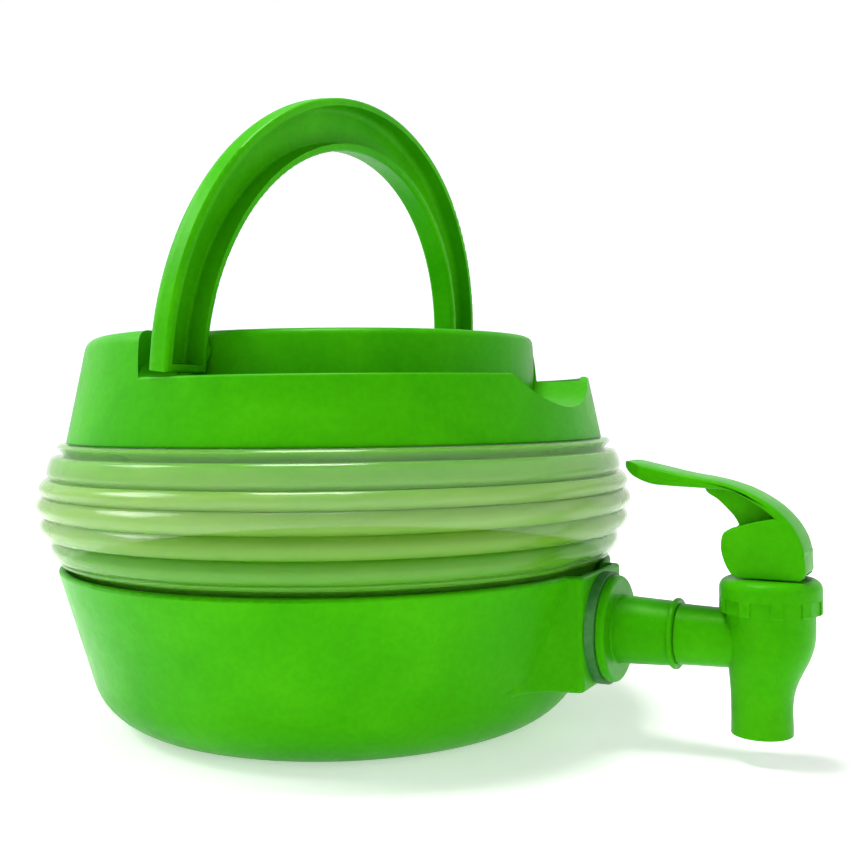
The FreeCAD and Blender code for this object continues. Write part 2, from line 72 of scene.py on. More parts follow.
TAP_X = 153.5           # from the bottle's axis to the tap's
WELD = 0.00001          # metres within which doubles are merged
logging.basicConfig(level=logging.INFO, format="%(message)s")
log = logging.getLogger("dispenser")

Point = tuple[float, float]
Colour = tuple[float, float, float, float]


# ---------------------------------------------------------------------------------------------- finishes


def linear(hex_colour: str) -> Colour:
    """Turn an sRGB hex colour to linear RGBA.

    Args:
        hex_colour: Six hex digits, such as "3fc414".

    Returns:
        Linear red, green, blue and an alpha of 1.
    """
    channels = [int(hex_colour[i:i + 2], 16) / 255 for i in (0, 2, 4)]
    red, green, blue = (c / 12.92 if c <= 0.04045 else ((c + 0.055) / 1.055) ** 2.4 for c in channels)
    return red, green, blue, 1.0


def add_node(tree: bpy.types.NodeTree, kind: str, settings: dict | None = None,
             inputs: dict | None = None) -> bpy.types.Node:
    """Add one node with its settings, input values and incoming links.

    Args:
        tree: Node tree that gets the node.
        kind: Node type, such as "ShaderNodeTexNoise".
        settings: Attributes of the node by name.
        inputs: Input sockets by name or index; a socket as value is linked, anything else is set.

    Returns:
        The new node.
    """
    node = tree.nodes.new(kind)
    for name, value in (settings or {}).items():
        setattr(node, name, value)
    for name, value in (inputs or {}).items():
        if isinstance(value, bpy.types.NodeSocket):
            tree.links.new(value, node.inputs[name])
        else:
            node.inputs[name].default_value = value
    return node


def colour_ramp(tree: bpy.types.NodeTree, factor: bpy.types.NodeSocket,
                stops: Sequence[tuple[float, Colour]]) -> bpy.types.NodeSocket:
    """Spread a factor over colour stops.

    Args:
        tree: Node tree that gets the ramp.
        factor: Socket with values from 0 to 1.
        stops: Position and linear colour of each stop, in order.

    Returns:
        The ramp's colour socket.
    """
    ramp = add_node(tree, "ShaderNodeValToRGB", inputs={"Fac": factor})
    elements = ramp.color_ramp.elements
    while len(elements) < len(stops):
        elements.new(1.0)
    for element, (position, colour) in zip(elements, stops):
        element.position = position
        element.color = colour
    return ramp.outputs["Color"]


def blank_material(name: str) -> tuple[bpy.types.Material, bpy.types.NodeTree, bpy.types.NodeSocket]:
    """Start a material with an empty node tree.

    Args:
        name: Name of the material.

    Returns:
        The material, its tree and an Object coordinate socket in metres.
    """
    material = bpy.data.materials.new(name)
    material.use_nodes = True
    tree = material.node_tree
    tree.nodes.clear()
    place = add_node(tree, "ShaderNodeTexCoord").outputs["Object"]
    return material, tree, place


@dataclass(frozen=True)
class MouldedPolypropylene:
    """Injection-moulded, pigmented polypropylene."""

    # The eye sees a deep, even colour under a waxy satin skin: soft wide highlights that take the pigment's tint,
    # faint cloudy flow marks a few centimetres across, and paler rubbed edges.
    name: str
    pigment: str
    pigment_deep: str
    pigment_pale: str
    roughness: float = 0.36
    roughness_dip: float = 0.05
    roughness_rise: float = 0.10
    sheen_level: float = 0.12       # waxy skin reflects less than the bulk's index would give
    sheen_tint: Colour = (0.45, 1.0, 0.12, 1.0)
    skin_grain_mm: float = 0.9      # real grain is near 0.1 mm; drawn coarser so that it shows
    speck_mm: float = 2.2
    scuff_mm: float = 6.0
    flow_mm: float = 42.0

    def build(self) -> bpy.types.Material:
        """Make the node material.

        Returns:
            The finished material.
        """
        material, tree, place = blank_material(self.name)
        flow = add_node(tree, "ShaderNodeTexNoise", inputs={
            "Vector": place, "Scale": 1 / (self.flow_mm * MM), "Detail": 3.0, "Roughness": 0.55, "Distortion": 0.6})
        colour = colour_ramp(tree, flow.outputs["Fac"], [
            (0.30, linear(self.pigment_deep)), (0.55, linear(self.pigment)), (0.80, linear(self.pigment_pale))])
        speck = add_node(tree, "ShaderNodeTexNoise", inputs={
            "Vector": place, "Scale": 1 / (self.speck_mm * MM), "Detail": 2.0, "Roughness": 0.7})
        speck_colour = colour_ramp(tree, speck.outputs["Fac"], [
            (0.42, (0.93, 0.93, 0.93, 1)), (0.60, (1.05, 1.05, 1.05, 1))])
        speckled = add_node(tree, "ShaderNodeMix", {"data_type": "RGBA", "blend_type": "MULTIPLY"}, {
            0: 0.6, 6: colour, 7: speck_colour})
        edge = add_node(tree, "ShaderNodeNewGeometry").outputs["Pointiness"]
        edge_mask = add_node(tree, "ShaderNodeMapRange", inputs={
            "Value": edge, "From Min": 0.515, "From Max": 0.60, "To Min": 0.0, "To Max": 0.45})
        scuff = add_node(tree, "ShaderNodeTexNoise", inputs={
            "Vector": place, "Scale": 1 / (self.scuff_mm * MM), "Detail": 5.0, "Roughness": 0.75})
        worn = add_node(tree, "ShaderNodeMath", {"operation": "MULTIPLY", "use_clamp": True}, {
            0: edge_mask.outputs["Result"], 1: scuff.outputs["Fac"]})
        rubbed = add_node(tree, "ShaderNodeMix", {"data_type": "RGBA"}, {
            0: worn.outputs["Value"], 6: speckled.outputs[2], 7: linear(self.pigment_pale)})
        gloss = add_node(tree, "ShaderNodeMapRange", inputs={
            "Value": scuff.outputs["Fac"], "From Min": 0.3, "From Max": 0.75,
            "To Min": self.roughness - self.roughness_dip, "To Max": self.roughness + self.roughness_rise})
        grain = add_node(tree, "ShaderNodeTexNoise", inputs={
            "Vector": place, "Scale": 1 / (self.skin_grain_mm * MM), "Detail": 3.0, "Roughness": 0.6})
        relief = add_node(tree, "ShaderNodeBump", inputs={
            "Height": grain.outputs["Fac"], "Strength": 0.16, "Distance": 0.0001})
        skin = add_node(tree, "ShaderNodeBsdfPrincipled", inputs={
            "Base Color": rubbed.outputs[2], "Roughness": gloss.outputs["Result"], "Normal": relief.outputs["Normal"],
            "IOR": 1.49, "Specular IOR Level": self.sheen_level, "Specular Tint": self.sheen_tint})
        add_node(tree, "ShaderNodeOutputMaterial", inputs={"Surface": skin.outputs["BSDF"]})
        return material


@dataclass(frozen=True)
class BlownPolyethylene:
    """Blow-moulded low-density polyethylene."""

    # The eye sees a milky, half see-through film, cloudy from the uneven wall, with narrow wax-like highlights along
    # each fold. Its colour runs by radius from green in the grooves to pale at the fold tips: painted shade in the
    # grooves and a painted highlight on the tips, where the white surround's reflection shows.
    name: str
    deep: str
    milk: str
    # Pale colour of the fold tips: a painted highlight.
    milk_painted_tip_highlight: str
    cloud_mm: float = 26.0
    cloud_reach_mm: float = 5.0
    groove_r: float = 96.5
    tip_r: float = 107.0
    wander_mm: float = 9.0
    ripple_mm: float = 60.0
    gloss: Point = (0.12, 0.20)     # smallest and largest roughness
    cover: float = 0.52             # share of the film that isn't seen through
    scatter: float = 0.6
    scatter_mm: float = 5.0

    def build(self) -> bpy.types.Material:
        """Make the node material.

        Returns:
            The finished material.
        """
        material, tree, place = blank_material(self.name)
        cloud = add_node(tree, "ShaderNodeTexNoise", inputs={
            "Vector": place, "Scale": 1 / (self.cloud_mm * MM), "Detail": 4.0, "Roughness": 0.6})
        flat = add_node(tree, "ShaderNodeVectorMath", {"operation": "MULTIPLY"}, {0: place, 1: (1.0, 1.0, 0.0)})
        reach = add_node(tree, "ShaderNodeVectorMath", {"operation": "LENGTH"}, {0: flat.outputs["Vector"]})
        uneven = add_node(tree, "ShaderNodeMath", {"operation": "MULTIPLY_ADD"}, {
            0: cloud.outputs["Fac"], 1: self.cloud_reach_mm * MM, 2: reach.outputs["Value"]})
        # Colour by radius: painted shade in the grooves, painted highlight on the fold tips, over the real cloudy
        # wall
        painted_fold_light = add_node(tree, "ShaderNodeMapRange", inputs={
            "Value": uneven.outputs["Value"], "From Min": self.groove_r * MM, "From Max": self.tip_r * MM})
        colour = colour_ramp(tree, painted_fold_light.outputs["Result"], [
            (0.0, linear(self.deep)), (0.55, linear(self.milk)), (0.92, linear(self.milk_painted_tip_highlight))])
        wander = add_node(tree, "ShaderNodeTexNoise", inputs={
            "Vector": place, "Scale": 1 / (self.wander_mm * MM), "Detail": 3.0, "Roughness": 0.5})
        gloss = add_node(tree, "ShaderNodeMapRange", inputs={
            "Value": wander.outputs["Fac"], "From Min": 0.3, "From Max": 0.7,
            "To Min": self.gloss[0], "To Max": self.gloss[1]})
        ripple_place = add_node(tree, "ShaderNodeMapping", inputs={"Vector": place, "Scale": (1.0, 1.0, 30.0)})
        ripple = add_node(tree, "ShaderNodeTexNoise", inputs={
            "Vector": ripple_place.outputs["Vector"], "Scale": 1 / (self.ripple_mm * MM), "Detail": 2.0})
        relief = add_node(tree, "ShaderNodeBump", inputs={
            "Height": ripple.outputs["Fac"], "Strength": 0.10, "Distance": 0.0004})
        film = add_node(tree, "ShaderNodeBsdfPrincipled", inputs={
            "Base Color": colour, "Roughness": gloss.outputs["Result"], "Normal": relief.outputs["Normal"],
            "IOR": 1.51, "Alpha": self.cover, "Subsurface Weight": self.scatter,
            "Subsurface Radius": (1.0, 1.0, 0.4), "Subsurface Scale": self.scatter_mm * MM})
        add_node(tree, "ShaderNodeOutputMaterial", inputs={"Surface": film.outputs["BSDF"]})
        return material


@dataclass(frozen=True)
class MouldedRubber:
    """Compression-moulded rubber or silicone."""

    # The eye sees a dull, dusty skin with hardly any highlight and a fine pitted grain.
    name: str
    colour: str
    dust: str
    roughness: float = 0.62
    dust_mm: float = 7.0
    pit_mm: float = 0.6             # real pits are near 0.1 mm; drawn coarser so that they show

    def build(self) -> bpy.types.Material:
        """Make the node material.

        Returns:
            The finished material.
        """
        material, tree, place = blank_material(self.name)
        dusting = add_node(tree, "ShaderNodeTexNoise", inputs={
            "Vector": place, "Scale": 1 / (self.dust_mm * MM), "Detail": 5.0, "Roughness": 0.7})
        colour = colour_ramp(tree, dusting.outputs["Fac"], [
            (0.40, linear(self.colour)), (0.85, linear(self.dust))])
        pits = add_node(tree, "ShaderNodeTexVoronoi", inputs={"Vector": place, "Scale": 1 / (self.pit_mm * MM)})
        relief = add_node(tree, "ShaderNodeBump", inputs={
            "Height": pits.outputs["Distance"], "Strength": 0.3, "Distance": 0.0001})
        skin = add_node(tree, "ShaderNodeBsdfPrincipled", inputs={
            "Base Color": colour, "Roughness": self.roughness, "Normal": relief.outputs["Normal"], "IOR": 1.45})
        add_node(tree, "ShaderNodeOutputMaterial", inputs={"Surface": skin.outputs["BSDF"]})
        return material


@dataclass(frozen=True)
class DrawnSpringWire:
    """Cold-drawn stainless spring wire."""

    # The eye sees bright grey metal whose gloss changes along fine draw lines.
    name: str
    colour: str
    shade: str
    line_mm: float = 0.4            # real lines are far finer; drawn coarser so that they show

    def build(self) -> bpy.types.Material:
        """Make the node material.

        Returns:
            The finished material.
        """
        material, tree, place = blank_material(self.name)
        lines = add_node(tree, "ShaderNodeTexNoise", inputs={
            "Vector": place, "Scale": 1 / (self.line_mm * MM), "Detail": 2.0})
        colour = colour_ramp(tree, lines.outputs["Fac"], [
            (0.3, linear(self.shade)), (0.7, linear(self.colour))])
        gloss = add_node(tree, "ShaderNodeMapRange", inputs={
            "Value": lines.outputs["Fac"], "To Min": 0.22, "To Max": 0.42})
        wire = add_node(tree, "ShaderNodeBsdfPrincipled", inputs={
            "Base Color": colour, "Metallic": 1.0, "Roughness": gloss.outputs["Result"]})
        add_node(tree, "ShaderNodeOutputMaterial", inputs={"Surface": wire.outputs["BSDF"]})
        return material


class Slot(Enum):
    """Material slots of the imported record."""

    GREEN = "green_plastic"
    FILM = "bottle_film"
    WASHER = "washer_rubber"
    SILICONE = "seal_silicone"
    SPRING = "spring_steel"


GREEN_POLYPROPYLENE = MouldedPolypropylene("moulded_green_polypropylene", "389f03", "2e9402", "43a909")
MILKY_POLYETHYLENE = BlownPolyethylene("blown_milky_polyethylene", "4ea51a", "66b32c", "80b63e")
GREEN_RUBBER = MouldedRubber("moulded_dark_green_rubber", "236b26", "4b8a49")
WHITE_SILICONE = MouldedRubber("moulded_white_silicone", "dfe2da", "f0f1ec", 0.45)
SPRING_WIRE = DrawnSpringWire("drawn_spring_wire", "c9cbce", "8f9194")


class Wardrobe:
    """Every finish, built once and handed out by slot."""

    def __init__(self) -> None:
        """Build one material for each slot."""
        self.materials: dict[Slot, bpy.types.Material] = {
            Slot.GREEN: GREEN_POLYPROPYLENE.build(),
            Slot.FILM: MILKY_POLYETHYLENE.build(),
            Slot.WASHER: GREEN_RUBBER.build(),
            Slot.SILICONE: WHITE_SILICONE.build(),
            Slot.SPRING: SPRING_WIRE.build(),
        }

    def dress(self, piece: bpy.types.Object, slot: Slot) -> None:
        """Give a piece one finish.

        Args:
            piece: Mesh object to dress.
            slot: Slot that the finish belongs to.
        """
        piece.data.materials.clear()
        piece.data.materials.append(self.materials[slot])


# ---------------------------------------------------------------------------------------------- bench tools


def deselect() -> None:
    """Leave object mode with nothing selected."""
    if bpy.context.object and bpy.context.object.mode != "OBJECT":
        bpy.ops.object.mode_set(mode="OBJECT")
    bpy.ops.object.select_all(action="DESELECT")


def start_point(name: str, place: Vector) -> bpy.types.Object:
    """Start a mesh from a small plane that is merged to one vertex, left selected in edit mode.

    Args:
        name: Name of the new piece.
        place: Where the vertex lies, in metres.

    Returns:
        The new object, in edit mode.
    """
    deselect()
    bpy.ops.mesh.primitive_plane_add(size=MM, location=(0, 0, 0))
    piece = bpy.context.object
    piece.name = name
    piece.data.name = name
    bpy.ops.object.mode_set(mode="EDIT")
    bpy.ops.mesh.select_all(action="SELECT")
    bpy.ops.mesh.merge(type="CENTER")
    bpy.ops.transform.translate(value=place)
    return piece


def extrude_along(points: Iterable[Vector], start: Vector) -> None:
    """Extrude the selected vertex through points.

    Args:
        points: Points that follow the start.
        start: Where the selected vertex lies.
    """
    here = start
    for point in points:
        bpy.ops.mesh.extrude_region_move(TRANSFORM_OT_translate={"value": point - here})
        here = point


def spin_profile(name: str, profile: Sequence[Point], steps: int) -> bpy.types.Object:
    """Spin an open profile round the Z axis into a closed skin with no doubles.

    Args:
        name: Name of the new piece.
        profile: Radius and height of each point, in millimetres.
        steps: Number of steps round the axis.

    Returns:
        The piece, in object mode.
    """
    points = [Vector((r * MM, 0, z * MM)) for r, z in profile]
    piece = start_point(name, points[0])
    extrude_along(points[1:], points[0])
    bpy.ops.mesh.select_all(action="SELECT")
    bpy.ops.mesh.spin(steps=steps, angle=math.tau, center=(0, 0, 0), axis=(0, 0, 1))
    bpy.ops.mesh.select_all(action="SELECT")
    bpy.ops.mesh.remove_doubles(threshold=WELD)
    bpy.ops.mesh.normals_make_consistent(inside=False)
    bpy.ops.object.mode_set(mode="OBJECT")
    return piece


def apply_modifier(piece: bpy.types.Object, kind: str, settings: dict) -> None:
    """Add a modifier with its settings and apply it.

    Args:
        piece: Object that gets the modifier.
        kind: Modifier type, such as "SOLIDIFY".
        settings: Attributes of the modifier by name.
    """
    deselect()
    piece.select_set(True)
    bpy.context.view_layer.objects.active = piece
    modifier = piece.modifiers.new(kind.lower(), kind)
    for name, value in settings.items():
        setattr(modifier, name, value)
    bpy.ops.object.modifier_apply(modifier=modifier.name)


def smooth(piece: bpy.types.Object, degrees: float = 35.0) -> None:
    """Shade a piece smooth, with edges sharper than an angle kept crisp.

    Args:
        piece: Object to shade.
        degrees: Largest angle that is still shaded smooth.
    """
    deselect()
    piece.select_set(True)
    bpy.context.view_layer.objects.active = piece
    bpy.ops.object.shade_smooth_by_angle(angle=math.radians(degrees))


# ---------------------------------------------------------------------------------------------- the object


@dataclass
class Bottle:
    """The blown bottle: lower cup in the tub, rounded folds, thin flange, flat shoulder and neck."""

    wall: float = 1.0
    steps: int = 144
    notch_depth: float = 2.0
    fold_samples: int = 14
    notch_gap: float = 0.97         # how near a fold's lower end comes to the notch, as a share of its reach
    shade_deg: float = 60.0
    tips: list[Point] = field(default_factory=lambda: [
        (99.9, 62.2), (103.2, 69.8), (104.2, 76.3), (103.2, 82.4), (100.6, 87.4)])
    notches: list[float] = field(default_factory=lambda: [58.9, 66.2, 73.2, 79.5, 85.0, 93.0])
    neck_r: float = 65.4

    def fold(self, tip: Point, low: float, high: float) -> list[Point]:
        """One rounded fold between two notches.

        Args:
            tip: Radius and height of the outermost point.
            low: Height of the notch below.
            high: Height of the notch above.

        Returns:
            Points up the fold, without the upper notch.
        """
        radius, middle = tip
        points: list[Point] = []
        for i in range(self.fold_samples):
            side = -1 + 2 * i / self.fold_samples
            reach = (middle - low) if side < 0 else (high - middle)
            height = middle + side * reach * (self.notch_gap if i == 0 else 1)
            bulge = (1 - abs(side) ** 1.9) ** 0.85 if side < 0 else (1 - side ** 1.6) ** 0.95
            points.append((radius - self.notch_depth * (1 - bulge), height))
        return points

    def profile(self) -> list[Point]:
        """Centre line of the wall from the middle of the floor to the neck's top.

        Returns:
            Radius and height of each point, in millimetres.
        """
        points: list[Point] = [(0.0, 3.4), (40.0, 3.4), (64.0, 3.4)]
        heel_x, heel_z, heel_r = 64.0, 22.6, 19.2
        for degrees in range(10, 75, 9):
            angle = math.radians(degrees)
            points.append((heel_x + heel_r * math.sin(angle), heel_z - heel_r * math.cos(angle)))
        points += [(88.0, 38.0), (91.9, 50.0), (93.0, 53.8), (94.4, 56.0), (96.0, 56.8), (97.0, 57.3), (97.3, 57.9),
                   (97.0, 58.5)]
        for i, tip in enumerate(self.tips):
            points += self.fold(tip, self.notches[i], self.notches[i + 1])
        points += [(95.0, 92.7), (95.0, 93.3), (95.6, 94.4), (96.8, 95.5), (97.2, 95.9), (96.8, 96.2), (94.5, 96.1),
                   (80.0, 96.1), (68.5, 96.1), (66.3, 96.6), (self.neck_r, 98.5), (self.neck_r, 108.0),
                   (self.neck_r, 117.6)]
        return points

    def build(self, wardrobe: Wardrobe) -> list[bpy.types.Object]:
        """Make the bottle as one continuous skin.

        Args:
            wardrobe: Finishes.

        Returns:
            The bottle.
        """
        bottle = spin_profile("bottle", self.profile(), self.steps)
        apply_modifier(bottle, "SOLIDIFY", {"thickness": self.wall * MM, "offset": 0.0})
        smooth(bottle, self.shade_deg)
        wardrobe.dress(bottle, Slot.FILM)
        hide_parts("bottle_base", "bellows", "bottle_neck")
        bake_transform(bottle)
        return [bottle]


def smooth_line(points: Sequence[Point], spacing: float = 1.2) -> list[Point]:
    """Run a smooth line through points (centripetal spline).

    Args:
        points: Points that the line passes through, in millimetres.
        spacing: Distance between the line's points.

    Returns:
        The line's points, ends included.
    """
    held = [Vector((2 * points[0][0] - points[1][0], 2 * points[0][1] - points[1][1]))]
    held += [Vector(point) for point in points]
    held.append(Vector((2 * points[-1][0] - points[-2][0], 2 * points[-1][1] - points[-2][1])))
    line: list[Point] = []
    for before, start, end, after in zip(held, held[1:], held[2:], held[3:]):
        knots = [0.0]
        for a, b in ((before, start), (start, end), (end, after)):
            knots.append(knots[-1] + max((b - a).length, 1e-6) ** 0.5)
        count = max(1, round((end - start).length / spacing))
        for i in range(count):
            t = knots[1] + (knots[2] - knots[1]) * i / count
            level = [before, start, end, after]
            for depth in range(1, 4):
                following = []
                for k in range(4 - depth):
                    low, high = (knots[k], knots[k + depth])
                    if depth == 3:
                        low, high = knots[1], knots[2]
                    elif depth == 2:
                        low, high = knots[k], knots[k + 2]
                    following.append(level[k] * ((high - t) / (high - low))
                                     + level[k + 1] * ((t - low) / (high - low)))
                level = following
            line.append((level[0].x, level[0].y))
    line.append(points[-1])
    return line


def slab(name: str, outline: Sequence[Point], half: float, rounding: float = 0.0,
         middle: float = 0.0) -> bpy.types.Object:
    """Make a plate across the tap with a side outline, its long edges rounded.

    Args:
        name: Name of the plate.
        outline: Corners of the side view, x from the tap's axis and z, in millimetres.
        half: Half of the plate's thickness.
        rounding: Radius of its long edges.
        middle: Where the plate's middle plane lies along Y.

    Returns:
        The plate, in object mode.
    """
    points = [Vector(((TAP_X + x) * MM, (middle - half) * MM, z * MM)) for x, z in outline]
    piece = start_point(name, points[0])
    extrude_along(points[1:], points[0])
    bpy.ops.mesh.select_all(action="SELECT")
    bpy.ops.mesh.edge_face_add()
    bpy.ops.mesh.extrude_region_move(TRANSFORM_OT_translate={"value": (0, 2 * half * MM, 0)})
    bpy.ops.mesh.select_all(action="SELECT")
    bpy.ops.mesh.normals_make_consistent(inside=False)
    bpy.ops.object.mode_set(mode="OBJECT")
    if rounding:
        apply_modifier(piece, "BEVEL", {"width": rounding * MM, "segments": 3, "limit_method": "ANGLE",
                                        "angle_limit": math.radians(60), "use_clamp_overlap": True})
    return piece


def combine(piece: bpy.types.Object, tool: bpy.types.Object, how: str) -> None:
    """Join, cut or intersect a piece with a tool, and remove the tool.

    Args:
        piece: Piece that is changed.
        tool: Shape that it is combined with.
        how: UNION, DIFFERENCE or INTERSECT.
    """
    apply_modifier(piece, "BOOLEAN", {"object": tool, "operation": how, "solver": "EXACT"})
    bpy.data.objects.remove(tool, do_unlink=True)


@dataclass
class Lever:
    """The tap's lever: a thin curved blade with a rounded spoon tip, turned-down sides, cheeks and a rib."""

    half_width: float = 7.9
    wall: float = 2.0
    edge_round: float = 1.1
    cheek_gap: float = 5.5          # from the middle plane to each cheek
    cheek_sink: float = 0.05        # how far a cheek runs into the blade's side
    cheek_round: float = 0.6
    rib_half: float = 1.2
    rib_round: float = 0.3
    tip_x: float = -44.6
    tip_gap: float = 1.002          # keeps the cutter's sides clear of the blade's sides
    peg_r: float = 2.0
    peg_length: float = 3.0
    peg_middle: float = 4.3         # from the middle plane to each peg's middle
    peg_z: float = 63.0
    shade_deg: float = 40.0
    top_line: list[Point] = field(default_factory=lambda: [
        (-44.5, 89.4), (-43.6, 90.4), (-37.0, 89.3), (-26.1, 86.9), (-12.5, 84.4), (-4.1, 81.4), (3.5, 76.6),
        (8.2, 71.4), (10.8, 65.8), (11.5, 57.4)])
    skirt_line: list[Point] = field(default_factory=lambda: [
        (9.4, 57.4), (8.8, 64.0), (3.4, 73.2), (-4.7, 79.3), (-10.6, 82.0), (-17.8, 82.6), (-28.8, 83.1),
        (-34.4, 83.6), (-38.9, 85.2), (-42.6, 87.6), (-44.5, 89.4)])
    cheek: list[Point] = field(default_factory=lambda: [
        (-9.9, 70.9), (-12.2, 69.4), (-13.1, 65.9), (-12.6, 62.2), (-11.0, 58.4), (-9.6, 56.6), (-8.6, 56.0)])
    rib: list[Point] = field(default_factory=lambda: [
        (-19.6, 83.2), (-18.9, 81.2), (-15.6, 79.0), (-12.6, 76.2), (-10.0, 73.2), (-8.1, 69.2)])

    def blade(self) -> bpy.types.Object:
        """The blade with its sides turned down and its tip rounded in plan."""
        top = smooth_line(self.top_line)
        skirt = smooth_line(self.skirt_line)
        blade = slab("lever", top + skirt[:-1], self.half_width, self.edge_round)
        room = smooth_line([(-37.5, 86.0), (-26.0, 84.9), (-12.5, 82.4), (-4.9, 79.4), (2.0, 75.0), (6.4, 70.2),
                            (8.6, 65.0), (9.2, 58.0)])
        room += [(9.3, 52.0), (-16.0, 52.0), (-38.0, 76.0)]
        combine(blade, slab("room", room, self.half_width - self.wall), "DIFFERENCE")
        deselect()
        bpy.ops.mesh.primitive_cylinder_add(vertices=64, radius=self.half_width * MM, depth=60 * MM,
                                            location=((TAP_X + self.tip_x + self.half_width) * MM, 0, 80 * MM))
        plan = bpy.context.object
        bpy.ops.object.mode_set(mode="EDIT")
        bpy.ops.mesh.select_all(action="DESELECT")
        bpy.ops.object.mode_set(mode="OBJECT")
        for vertex in plan.data.vertices:
            vertex.select = vertex.co.x > 0.0001
        bpy.ops.object.mode_set(mode="EDIT")
        bpy.ops.transform.translate(value=(70 * MM, 0, 0))
        bpy.ops.mesh.select_all(action="SELECT")
        bpy.ops.transform.resize(value=(1, self.tip_gap, 1), center_override=(0, 0, 0))
        bpy.ops.object.mode_set(mode="OBJECT")
        combine(blade, plan, "INTERSECT")
        return blade

    def build(self, wardrobe: Wardrobe) -> list[bpy.types.Object]:
        """Make the lever with its cheeks, rib and pegs.

        Args:
            wardrobe: Finishes.

        Returns:
            The lever.
        """
        lever = self.blade()
        cheek = smooth_line(self.cheek) + [(9.8, 56.0), (11.0, 57.0), (11.2, 64.0), (9.0, 69.0), (5.0, 73.4)]
        cheek += smooth_line([(2.8, 74.2), (-3.0, 72.9), (-9.9, 70.9)])[:-1]
        gap, out = self.cheek_gap, self.half_width
        for side in (-1, 1):
            half = (out - gap) / 2 + self.cheek_sink
            plate = slab("cheek", cheek, half, self.cheek_round, side * (gap + out) / 2)
            combine(lever, plate, "UNION")
        rib = smooth_line(self.rib) + [(-5.0, 69.4), (-2.0, 72.0), (3.0, 75.0), (-4.0, 80.4), (-12.0, 83.4)]
        combine(lever, slab("rib", rib, self.rib_half, self.rib_round), "UNION")
        for side in (-1, 1):
            deselect()
            bpy.ops.mesh.primitive_cylinder_add(
                vertices=32, radius=self.peg_r * MM, depth=self.peg_length * MM, rotation=(math.pi / 2, 0, 0),
                location=(TAP_X * MM, side * self.peg_middle * MM, self.peg_z * MM))
            peg = bpy.context.object
            apply_modifier(peg, "BEVEL", {"width": 0.3 * MM, "segments": 2})
            combine(lever, peg, "UNION")
        smooth(lever, self.shade_deg)
        wardrobe.dress(lever, Slot.GREEN)
        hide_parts("tap_lever")
        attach(lever, "lever")
        return [lever]


@dataclass
class ValveSpring:
    """The compression spring over the seal, which shortens as the seal rises."""

    low: float = 45.3
    high: float = 53.05
    coil_r: float = 4.8
    wire_r: float = 0.45
    turns: int = 4
    steps: int = 20
    shade_deg: float = 50.0

    def build(self, wardrobe: Wardrobe) -> list[bpy.types.Object]:
        """Draw the coil and give the wire its thickness.

        Args:
            wardrobe: Finishes.

        Returns:
            The spring.
        """
        count = self.turns * self.steps
        points = []
        for i in range(count + 1):
            angle = math.tau * i / self.steps
            points.append(Vector(((TAP_X + self.coil_r * math.cos(angle)) * MM, self.coil_r * math.sin(angle) * MM,
                                  (self.low + (self.high - self.low) * i / count) * MM)))
        spring = start_point("spring", points[0])
        extrude_along(points[1:], points[0])
        bpy.ops.object.mode_set(mode="OBJECT")
        bpy.ops.object.convert(target="CURVE")
        spring = bpy.context.object
        spring.data.bevel_depth = self.wire_r * MM
        spring.data.bevel_resolution = 2
        spring.data.use_fill_caps = True
        bpy.ops.object.convert(target="MESH")
        spring = bpy.context.object
        spring.name = "spring"
        bpy.ops.object.mode_set(mode="EDIT")
        bpy.ops.mesh.select_all(action="SELECT")
        bpy.ops.mesh.remove_doubles(threshold=0.000001)
        bpy.ops.mesh.normals_make_consistent(inside=False)
        bpy.ops.object.mode_set(mode="OBJECT")
        smooth(spring, self.shade_deg)
        wardrobe.dress(spring, Slot.SPRING)
        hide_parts("valve_spring")
        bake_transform(spring)
        return [spring]


@dataclass
class CarriedOver:
    """CAD nodes whose shape is right already; they only get their finish."""

    green: tuple[str, ...] = ("base_tub", "lid_cover", "handle", "tap_shank", "tap_body", "tap_nut", "tap_bonnet",
                              "tap_plunger")
    washers: tuple[str, ...] = ("tap_outer_washer", "tap_inner_washer", "shank_o_ring")
    silicone: tuple[str, ...] = ("lid_gasket", "valve_seal")

    def build(self, wardrobe: Wardrobe) -> list[bpy.types.Object]:
        """Dress the nodes.

        Args:
            wardrobe: Finishes.

        Returns:
            The dressed nodes.
        """
        dressed = []
        for names, slot in ((self.green, Slot.GREEN), (self.washers, Slot.WASHER), (self.silicone, Slot.SILICONE)):
            for name in names:
                node = frame["nodes"][name]
                wardrobe.dress(node, slot)
                dressed.append(node)
        return dressed


# ---------------------------------------------------------------------------------------------- the studio


